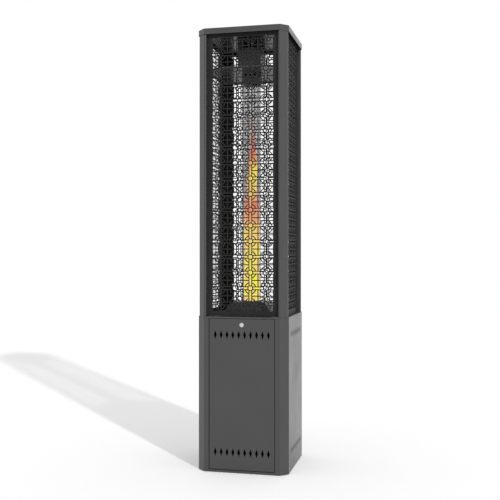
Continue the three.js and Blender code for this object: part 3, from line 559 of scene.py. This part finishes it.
# cuts the outlines in sheet and lays the sheet where the front panel is
def makePanelMesh(size):
    low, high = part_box("lattice_front")
    curve = bpy.data.curves.new("ornament", "CURVE")
    curve.dimensions = "2D"
    curve.fill_mode = "BOTH"
    curve.extrude = (high.y - low.y) / 2 - size["cutEdge"] * mm
    curve.bevel_depth = size["cutEdge"] * mm
    curve.bevel_resolution = 0
    curve.offset = -size["cutEdge"] * mm
    for points in makeOrnament(size):
        line = curve.splines.new("POLY")
        line.points.add(len(points) - 1)
        for point, (x, z) in zip(line.points, points):
            point.co = (x * mm, z * mm, 0, 1)
        line.use_cyclic_u = True
    flat = bpy.data.objects.new("ornament", curve)
    mesh = bpy.data.meshes.new_from_object(flat)
    bpy.data.objects.remove(flat)
    upright = Matrix.Rotation(math.pi / 2, 4, "X")
    mesh.transform(Matrix.Translation((0, (low.y + high.y) / 2, 0)) @ upright)
    mesh.materials.clear()
    mesh.materials.append(stovePaint)
    return mesh


panelMesh = makePanelMesh(ornament)
for i, side in enumerate(sides):
    panel = bpy.data.objects.new(f"ornament_{side}", panelMesh)
    panel.rotation_euler.z = i * math.pi / 2
    bpy.context.scene.collection.objects.link(panel)
    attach(panel, "tower")
    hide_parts(f"lattice_{side}")
print("panels cut:", len(panelMesh.polygons), "faces each")


# Two crossed plates that part the hood, so that no wind blows through from window to window, mm
windCross = {"sheet": 1.2, "endGap": 4, "cornerGap": 3.5}


def makeWindCross(size):
    low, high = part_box("chimney_hood")
    arm = (high.x / mm - size["cornerGap"]) * math.sqrt(2)
    t = size["sheet"] / 2
    upright = [(arm, -t), (arm, t), (t, t), (t, arm), (-t, arm), (-t, t),
               (-arm, t), (-arm, -t), (-t, -t), (-t, -arm), (t, -arm), (t, -t)]
    turn = math.sqrt(0.5)
    outline = [((x - y) * turn, (x + y) * turn) for x, y in upright]
    bm = bmesh.new()
    drawOut(bm, outline, low.z / mm + size["endGap"], high.z / mm - size["endGap"])
    return addPiece("hood_wind_cross", bm, stovePaint)


# Rubber edging on the sides and foot of the door, which closes the gap round it: a dark strip
# that stands in for the shade in the gap, mm
doorGapShadeStrip = {
    "thickness": 1.5,
    "depth": 6.5,
    "lip": 1.1,                # how far it laps over the door's face
    "lipThickness": 0.35,
    "chamfer": 0.4,
    "footThickness": 1.1,
    "footDepth": 2,
    "footGap": 1.4,            # from the foot's edging up to the door's folded foot
    "endGap": 5,
}


def makeDoorGapShadeStrip(size):
    low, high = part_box("door_panel")
    face, side, top = low.y / mm, high.x / mm, high.z / mm
    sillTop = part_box("front_sill")[1].z / mm
    foot = sillTop + size["footThickness"] + size["footGap"]

    def profile(edge, thickness, depth):
        proud = face - size["lipThickness"]
        outer = edge + thickness
        return [(edge - size["lip"], proud), (outer - size["chamfer"], proud),
                (outer, proud + size["chamfer"]), (outer, face + depth),
                (edge, face + depth), (edge, face), (edge - size["lip"], face)]

    bm = bmesh.new()
    right = profile(side, size["thickness"], size["depth"])
    left = [(-x, y) for x, y in reversed(right)]
    for outline in (right, left):
        drawOut(bm, outline, foot, top - size["endGap"])
    uprights = set(bm.verts)
    drawOut(bm, profile(-foot, size["footThickness"], size["footDepth"]), -side, side)
    for vert in set(bm.verts) - uprights:      # the foot's edging is drawn upright and laid down
        x, y, z = vert.co
        vert.co = (z, y, -x)
    # black rubber in the gap: painted shade for the door's gap
    return addPiece("door_gap_shade_strip", bm, rubber, "door")


makeWindCross(windCross)
makeDoorGapShadeStrip(doorGapShadeStrip)
print("wind cross and door edging made")


# Knob and igniter: turned profiles as (radius, distance to the front) in mm, from the plane
# given as "face"
controls = {
    "knob": {
        "x": 80, "z": 635, "face": -156,
        "profile": [(4.4, 0), (20.3, 0), (21, 0.7), (21, 5), (20.6, 5.7), (19.8, 6), (16.2, 6.3),
                    (15.3, 7.2), (14.6, 12), (13.7, 17), (13.1, 18.3), (11.8, 18.9), (0, 19),
                    (0, 17), (4.4, 17)],
        "grooves": {"count": 24, "depth": 0.45, "from": 7, "to": 18.5, "core": 10},
    },
    "pointer": {               # rib across the knob's face, with a nose down to its flange
        "halfWidth": 3.4, "tail": -14.6, "tip": 18.6, "foot": 17.3, "head": 20,
        "round": 1.1, "crown": 0.9, "noseStart": 12.4, "noseFoot": 5.4, "noseOverlap": 0.4,
    },
    "igniter": {
        "x": 126, "z": 635, "face": -150,
        "profile": [(0, -35.7), (8.4, -35.7), (9, -35.1), (9, 0.3), (13, 0.3), (13, 1.5),
                    (12.6, 2.1), (11.9, 2.3), (7.4, 2.3), (6.7, 2), (6.3, 1.4), (6.3, -18.3),
                    (0, -18.3)],
    },
    "button": {
        "x": 126, "z": 635, "face": -150,
        "profile": [(0, -12), (6, -12), (6, 9.6), (5.8, 10.4), (5.2, 11), (4.2, 11.25),
                    (0, 11.3)],
    },
    "facets": 96,
}


# solid turned about an axis along Y, with finger grooves where the look asks for them
def turnControl(look, facets):
    grooves = look.get("grooves")

    def place(radius, angle, ahead):
        if grooves and grooves["from"] < ahead < grooves["to"] and radius > grooves["core"]:
            radius -= grooves["depth"] * (0.5 + 0.5 * math.cos(grooves["count"] * angle))
        return ((look["x"] + radius * math.cos(angle)) * mm, (look["face"] - ahead) * mm,
                (look["z"] + radius * math.sin(angle)) * mm)

    return turnProfile(look["profile"], facets, place)


# adds the rib that the fingers turn, rounded along its crown
def addPointer(bm, knob, look):
    known = set(bm.verts)
    w, r, tail, tip = (look[name] for name in ("halfWidth", "round", "tail", "tip"))
    outline = [(-w, tail + r), (-w + r, tail), (w - r, tail), (w, tail + r),
               (w, tip - 2 * r), (r, tip), (-r, tip), (-w, tip - 2 * r)]
    drawOut(bm, outline, look["foot"], look["head"])
    nose = [(-w, look["noseStart"]), (w, look["noseStart"])]
    nose += [(x, max(z, look["noseStart"])) for x, z in outline if z > 0]
    drawOut(bm, nose, look["noseFoot"], look["foot"] + look["noseOverlap"])
    for vert in [vert for vert in bm.verts if vert not in known]:
        x, z, ahead = vert.co
        vert.co = (knob["x"] * mm + x, knob["face"] * mm - ahead, knob["z"] * mm + z)
    front = (knob["face"] - look["head"]) * mm
    nearly = 0.001 * mm
    crown = [edge for edge in bm.edges
             if all(abs(vert.co.y - front) < nearly for vert in edge.verts)]
    bmesh.ops.bevel(bm, geom=crown, offset=look["crown"] * mm, segments=3, profile=0.5,
                    affect="EDGES")


def makeControls(look):
    knob, igniter, button = (
        turnControl(look[name], look["facets"]) for name in ("knob", "igniter", "button"))
    addPointer(knob, look["knob"], look["pointer"])
    parts = [("turn_knob", knob, blackPlastic, "knob", "control_knob", "black_plastic"),
             ("igniter_housing", igniter, blackPlastic, "tower", "igniter_body", "black_plastic"),
             ("push_button", button, redPlastic, "button", "igniter_button", "red_plastic")]
    for name, bm, material, body, node, slot in parts:
        piece = addPiece(name, bm, material, body)
        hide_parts(node)


makeControls(controls)
print("knob and igniter turned")


# Glass tube in mm; its rims are rounded by fire polishing
glassTube = {"wall": 2.5, "rim": 0.8, "facets": 128}


def makeGlassTube(size):
    low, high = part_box("glass_tube")
    outer, wall, rim = high.x, size["wall"] * mm, size["rim"] * mm
    inner = outer - wall
    profile = [(inner, low.z + rim), (inner + rim, low.z), (outer - rim, low.z),
               (outer, low.z + rim), (outer, high.z - rim), (outer - rim, high.z),
               (inner + rim, high.z), (inner, high.z - rim)]

    def place(radius, angle, z):
        return radius * math.cos(angle), radius * math.sin(angle), z

    return addPiece("glass_cylinder", turnProfile(profile, size["facets"], place), glass)


tube = makeGlassTube(glassTube)
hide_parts("glass_tube")
print("glass drawn")


# Burning gas in mm: tongues as (height, radius) where they change, and by height the colour
# and the cover, which is 1 where nothing shows through
flames = {
    "flame_mantle": {           # thin outer layer, which fills the tube
        "gas": "burningGasMantle",
        "sway": 0.4,
        "tongues": [
            {"x": 0, "y": 0, "seed": 0.7,
             "profile": [(729, 34), (745, 37), (1130, 37), (1200, 36), (1275, 32)]},
        ],
        "stages": [(729, "#f7d08c", 0.5), (1050, "#f6cc84", 0.5), (1085, "#eea474", 0.45),
                   (1140, "#dc8a70", 0.42), (1200, "#c88c82", 0.32), (1240, "#bc8c86", 0.2),
                   (1275, "#b08a86", 0.0)],
    },
    "flame_body": {             # full flame up to the first fade
        "gas": "burningGasBody",
        "sway": 1,
        "tongues": [
            {"x": 0, "y": 0, "seed": 1.9,
             "profile": [(731, 30), (760, 34), (1050, 33), (1105, 27), (1130, 10)]},
            {"x": -17, "y": -3, "seed": 3.1,
             "profile": [(1000, 15), (1090, 15), (1150, 10), (1196, 2)]},
            {"x": 14, "y": -6, "seed": 4.7,
             "profile": [(1000, 16), (1100, 15), (1165, 9), (1215, 2)]},
            {"x": 1, "y": 15, "seed": 5.2,
             "profile": [(1000, 17), (1090, 16), (1170, 9), (1205, 2)]},
        ],
        "stages": [(731, "#f5f53c", 1.0), (1000, "#f7ee50", 1.0), (1066, "#f5d860", 1.0),
                   (1090, "#f2a870", 1.0), (1130, "#ec9662", 1.0), (1165, "#e0643c", 0.8),
                   (1215, "#d98a66", 0.35)],
    },
    "flame_plume_right": {      # taller of the two strands in the middle
        "gas": "burningGasPlumeRight",
        "sway": 1,
        "tongues": [
            {"x": 8, "y": -3, "seed": 2.3,
             "profile": [(760, 10), (1120, 14), (1230, 15), (1335, 14), (1385, 10), (1460, 8),
                         (1530, 5), (1552, 2)]},
        ],
        "stages": [(760, "#f5f53c", 1.0), (1110, "#f2ae6c", 1.0), (1148, "#e86e3c", 1.0),
                   (1176, "#f0a458", 1.0), (1215, "#f8e458", 1.0), (1330, "#f6da5c", 1.0),
                   (1364, "#e69a64", 0.92), (1405, "#cf6a56", 0.75), (1460, "#b87468", 0.45),
                   (1552, "#b08880", 0.1)],
    },
    "flame_plume_left": {
        "gas": "burningGasPlumeLeft",
        "sway": 1,
        "tongues": [
            {"x": -6, "y": 1, "seed": 6.6,
             "profile": [(760, 10), (1130, 13), (1300, 12), (1370, 9), (1440, 7), (1520, 6),
                         (1565, 3)]},
        ],
        "stages": [(760, "#f5ee4c", 1.0), (1110, "#f0a870", 1.0), (1160, "#eda45c", 1.0),
                   (1220, "#f2c468", 1.0), (1320, "#eec46c", 1.0), (1360, "#dc9468", 0.9),
                   (1400, "#c4725f", 0.7), (1460, "#b07a70", 0.45), (1565, "#a88880", 0.12)],
    },
}
flamePaint = {
    "glow": 1.45,
    "streak": 13,               # mm across a streak of another tone
    "streakStretch": 5,         # times taller than wide
    "streakColour": "#f4b67e",
    "streakFrom": 0.54,         # noise where the other tone starts
    "streakFull": 0.68,
    "streakMost": 0.6,          # share of the other tone at most
    "reach": 26,                # mm that streaks move the colours up and down
}
flameShape = {
    "rings": 48,
    "facets": 30,
    "glassBore": 37.2,          # mm, what the gas keeps inside
    "slowSway": (2.2, 55),      # mm to the side, and mm of height to a radian
    "quickSway": (1.4, 23),
    "depthSway": (2.2, 61),
    "folds": (3, 0.08, 31),     # how many round a tongue, share of its radius, mm to a radian
    "creases": (5, 0.05, 19),
}


# Burning gas: its soot glows yellow, then orange and pink where it thins, and it ends clear.
# Taller streaks of another tone run through it.
def makeBurningGas(name, stages, look):
    material, tree, shader, place = startMaterial(name)
    tree.nodes.remove(shader)
    stretched = addNode(tree, "ShaderNodeMapping", {
        "Vector": place, "Scale": (1, 1, 1 / look["streakStretch"])})
    streak = addNode(tree, "ShaderNodeTexNoise", {
        "Vector": stretched.outputs[0], "Scale": perMetre(look["streak"]),
        "Detail": 2}).outputs["Fac"]
    height = addNode(tree, "ShaderNodeSeparateXYZ", {0: place}).outputs[2]
    shift = addNode(tree, "ShaderNodeMapRange", {
        "Value": streak, "From Min": noiseLow, "From Max": noiseHigh,
        "To Min": -look["reach"] * mm, "To Max": look["reach"] * mm})
    swayed = addNode(tree, "ShaderNodeMath", {0: height, 1: shift.outputs[0]}, operation="ADD")
    foot, top = stages[0][0], stages[-1][0]
    share = addNode(tree, "ShaderNodeMapRange", {
        "Value": swayed.outputs[0], "From Min": foot * mm, "From Max": top * mm})
    ramp = addNode(tree, "ShaderNodeValToRGB", {0: share.outputs[0]})
    stops = ramp.color_ramp.elements            # starts with a stop at each end
    for z, _, _ in stages[1:-1]:
        stops.new((z - foot) / (top - foot))
    for stop, (_, colour, cover) in zip(stops, stages):
        stop.color = [*toLinear(colour)[:3], cover]
    other = addNode(tree, "ShaderNodeMapRange", {
        "Value": streak, "From Min": look["streakFrom"], "From Max": look["streakFull"],
        "To Max": look["streakMost"]})
    colour = addNode(tree, "ShaderNodeMix", {
        0: other.outputs[0], 6: ramp.outputs[0], 7: toLinear(look["streakColour"])},
        data_type="RGBA")
    glow = addNode(tree, "ShaderNodeEmission", {
        "Color": colour.outputs[2], "Strength": look["glow"]})
    clear = addNode(tree, "ShaderNodeBsdfTransparent")
    gas = addNode(tree, "ShaderNodeMixShader", {
        0: ramp.outputs[1], 1: clear.outputs[0], 2: glow.outputs[0]})
    tree.links.new(gas.outputs[0], tree.nodes["Material Output"].inputs[0])
    return material


# radius of a tongue at a height, eased between the heights of its profile
def tongueRadius(profile, z):
    for (z0, r0), (z1, r1) in zip(profile, profile[1:]):
        if z <= z1:
            t = (z - z0) / (z1 - z0)
            return r0 + (r1 - r0) * t * t * (3 - 2 * t)
    return profile[-1][1]


# one ring of points of a tongue, at a height in mm, kept inside the glass
def tongueRing(bm, tongue, sway, z, shape):
    seed = tongue["seed"]
    slow, slowRise = shape["slowSway"]
    quick, quickRise = shape["quickSway"]
    depth, depthRise = shape["depthSway"]
    folds, foldShare, foldRise = shape["folds"]
    creases, creaseShare, creaseRise = shape["creases"]
    middleX = tongue["x"] + sway * (
        slow * math.sin(z / slowRise + seed) + quick * math.sin(z / quickRise + 2 * seed))
    middleY = tongue["y"] + sway * depth * math.cos(z / depthRise + seed)
    ring = []
    for j in range(shape["facets"]):
        angle = 2 * math.pi * j / shape["facets"]
        wave = 1 + foldShare * math.sin(folds * angle + z / foldRise + seed)
        wave += creaseShare * math.sin(creases * angle - z / creaseRise)
        radius = tongueRadius(tongue["profile"], z) * wave
        x, y = middleX + radius * math.cos(angle), middleY + radius * math.sin(angle)
        reach = math.hypot(x, y)
        fit = shape["glassBore"] / reach if reach > shape["glassBore"] else 1
        ring.append(bm.verts.new((x * fit * mm, y * fit * mm, z * mm)))
    return ring


def makeFlame(name, look, paint, shape):
    bm = bmesh.new()
    last = shape["rings"] - 1
    for tongue in look["tongues"]:
        foot, top = tongue["profile"][0][0], tongue["profile"][-1][0]
        rings = [tongueRing(bm, tongue, look["sway"], foot + (top - foot) * i / last, shape)
                 for i in range(shape["rings"])]
        for lower, upper in zip(rings, rings[1:]):
            for j in range(shape["facets"]):
                k = (j + 1) % shape["facets"]
                bm.faces.new((lower[j], lower[k], upper[k], upper[j]))
        bm.faces.new(reversed(rings[0]))
        bm.faces.new(rings[-1])
    return addPiece(name, bm, makeBurningGas(look["gas"], look["stages"], paint), smooth=180)


for name, look in flames.items():
    makeFlame(name, look, flamePaint, flameShape)
print("flame lit")


studio = {
    "floorColour": "#fdfdfd",
    "floorSize": 60,           # m
    "skyColour": "#ffffff",
    "fill": 0.66,              # strength of the soft light from all round
    "floorLift": 0.16,         # brings the lit floor up to the white behind it
    "underside": (0.17, 0.2),  # m from the middle, where the lift starts at the tower's edge; inside it the floor gets no lift, a painted shade under the tower
    "key": {"strength": 1.75, "side": 42, "height": 24, "softness": 2},   # front right, degrees
}


# 1 for what the camera sees, also in gloss and through glass, and 0 for what lights the object
def seenDirectly(tree):
    ray = addNode(tree, "ShaderNodeLightPath").outputs
    seen = addNode(tree, "ShaderNodeMath", {
        0: ray["Is Camera Ray"], 1: ray["Is Glossy Ray"]}, operation="MAXIMUM")
    return addNode(tree, "ShaderNodeMath", {
        0: seen.outputs[0], 1: ray["Is Transmission Ray"]}, operation="MAXIMUM").outputs[0]


# Boards painted matt white: no shine of their own, so that only the tower's shadow shows.
def makeFloor(look):
    mesh = bpy.data.meshes.new("studioFloor")
    half = look["floorSize"] / 2
    square = [(-half, -half, 0), (half, -half, 0), (half, half, 0), (-half, half, 0)]
    mesh.from_pydata(square, [], [(0, 1, 2, 3)])
    floor = bpy.data.objects.new("studioFloor", mesh)
    bpy.context.scene.collection.objects.link(floor)
    material, tree, shader, place = startMaterial("paintedStudioFloor")
    shader.inputs["Base Color"].default_value = toLinear(look["floorColour"])
    shader.inputs["Roughness"].default_value = 1
    shader.inputs["Specular IOR Level"].default_value = 0
    split = addNode(tree, "ShaderNodeSeparateXYZ", {0: place})
    fromX, fromY = (
        addNode(tree, "ShaderNodeMath", {0: split.outputs[i]}, operation="ABSOLUTE").outputs[0]
        for i in range(2))
    reach = addNode(tree, "ShaderNodeMath", {0: fromX, 1: fromY}, operation="MAXIMUM")
    # the lift fades to nothing under the tower: painted shade there, on top of the tower's real
    # shadow
    outside = addNode(tree, "ShaderNodeMapRange", {
        "Value": reach.outputs[0], "From Min": look["underside"][0],
        "From Max": look["underside"][1], "To Max": look["floorLift"]})
    lift = addNode(tree, "ShaderNodeMath", {
        0: seenDirectly(tree), 1: outside.outputs[0]}, operation="MULTIPLY")
    glow = addNode(tree, "ShaderNodeEmission", {"Strength": lift.outputs[0]})
    both = addNode(tree, "ShaderNodeAddShader", {0: shader.outputs[0], 1: glow.outputs[0]})
    tree.links.new(both.outputs[0], tree.nodes["Material Output"].inputs[0])
    mesh.materials.append(material)


def makeSky(look):
    world = bpy.data.worlds.new("studioSky")
    bpy.context.scene.world = world
    world.use_nodes = True
    tree = world.node_tree
    fill = tree.nodes["Background"]
    fill.inputs["Color"].default_value = toLinear(look["skyColour"])
    fill.inputs["Strength"].default_value = look["fill"]
    white = addNode(tree, "ShaderNodeBackground", {
        "Color": toLinear(look["skyColour"]), "Strength": 1})
    sky = addNode(tree, "ShaderNodeMixShader", {
        0: seenDirectly(tree), 1: fill.outputs[0], 2: white.outputs[0]})
    tree.links.new(sky.outputs[0], tree.nodes["World Output"].inputs[0])


def makeKeyLamp(look):
    lamp = bpy.data.lights.new("keyLamp", "SUN")
    lamp.energy = look["strength"]
    lamp.angle = math.radians(look["softness"])
    holder = bpy.data.objects.new("keyLamp", lamp)
    holder.rotation_euler = (math.radians(90 - look["height"]), 0, math.radians(look["side"]))
    bpy.context.scene.collection.objects.link(holder)


# the photograph's camera: where it stands in metres, and its lens in mm on a 36 mm sensor
photographer = {"place": (0.8313, -3.6236, 0.9578), "turn": 13.058, "lens": 59.27, "sensor": 36}


def makeCamera(look):
    camera = bpy.data.cameras.new("camera")
    camera.lens = look["lens"]
    camera.sensor_width = look["sensor"]
    holder = bpy.data.objects.new("camera", camera)
    holder.location = look["place"]
    holder.rotation_euler = (math.pi / 2, 0, math.radians(look["turn"]))
    bpy.context.scene.collection.objects.link(holder)
    bpy.context.scene.camera = holder


makeFloor(studio)
makeSky(studio)
makeKeyLamp(studio["key"])
makeCamera(photographer)
bpy.context.scene.view_settings.view_transform = "Standard"
print("studio ready")
